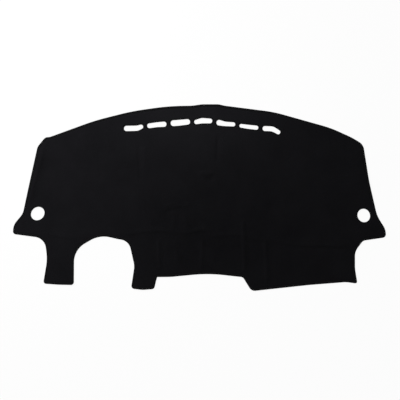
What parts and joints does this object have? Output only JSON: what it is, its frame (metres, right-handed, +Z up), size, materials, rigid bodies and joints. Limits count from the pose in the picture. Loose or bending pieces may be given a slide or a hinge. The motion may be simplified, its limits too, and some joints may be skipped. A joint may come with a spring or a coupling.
{
  "type": "dashboard cover mat",
  "caption": "Flat cloth dashboard cover cut to a left-hand-drive dash, with demister slots, speaker holes and taped edges.",
  "frame": {"origin": "on the surface that the mat lies on, under the middle of its bounding box", "axes": "+X to the passenger's side (right in the picture), +Y to the windscreen edge (up in the picture), +Z up out of the cloth face; left-hand drive"},
  "size_m": [1.4498, 0.7254, 0.004],
  "materials": {
    "cloth": "black short-nap polyester cloth, matt",
    "tape": "black woven polyester binding tape, matt"
  },
  "bodies": {
    "root": {"cloth_pad": "cloth", "edge_tape": "tape", "slot_1_tape": "tape", "slot_2_tape": "tape", "slot_3_tape": "tape", "slot_4_tape": "tape", "slot_5_tape": "tape", "slot_6_tape": "tape", "slot_7_tape": "tape", "speaker_hole_driver_tape": "tape", "speaker_hole_passenger_tape": "tape"}
  },
  "joints": []
}
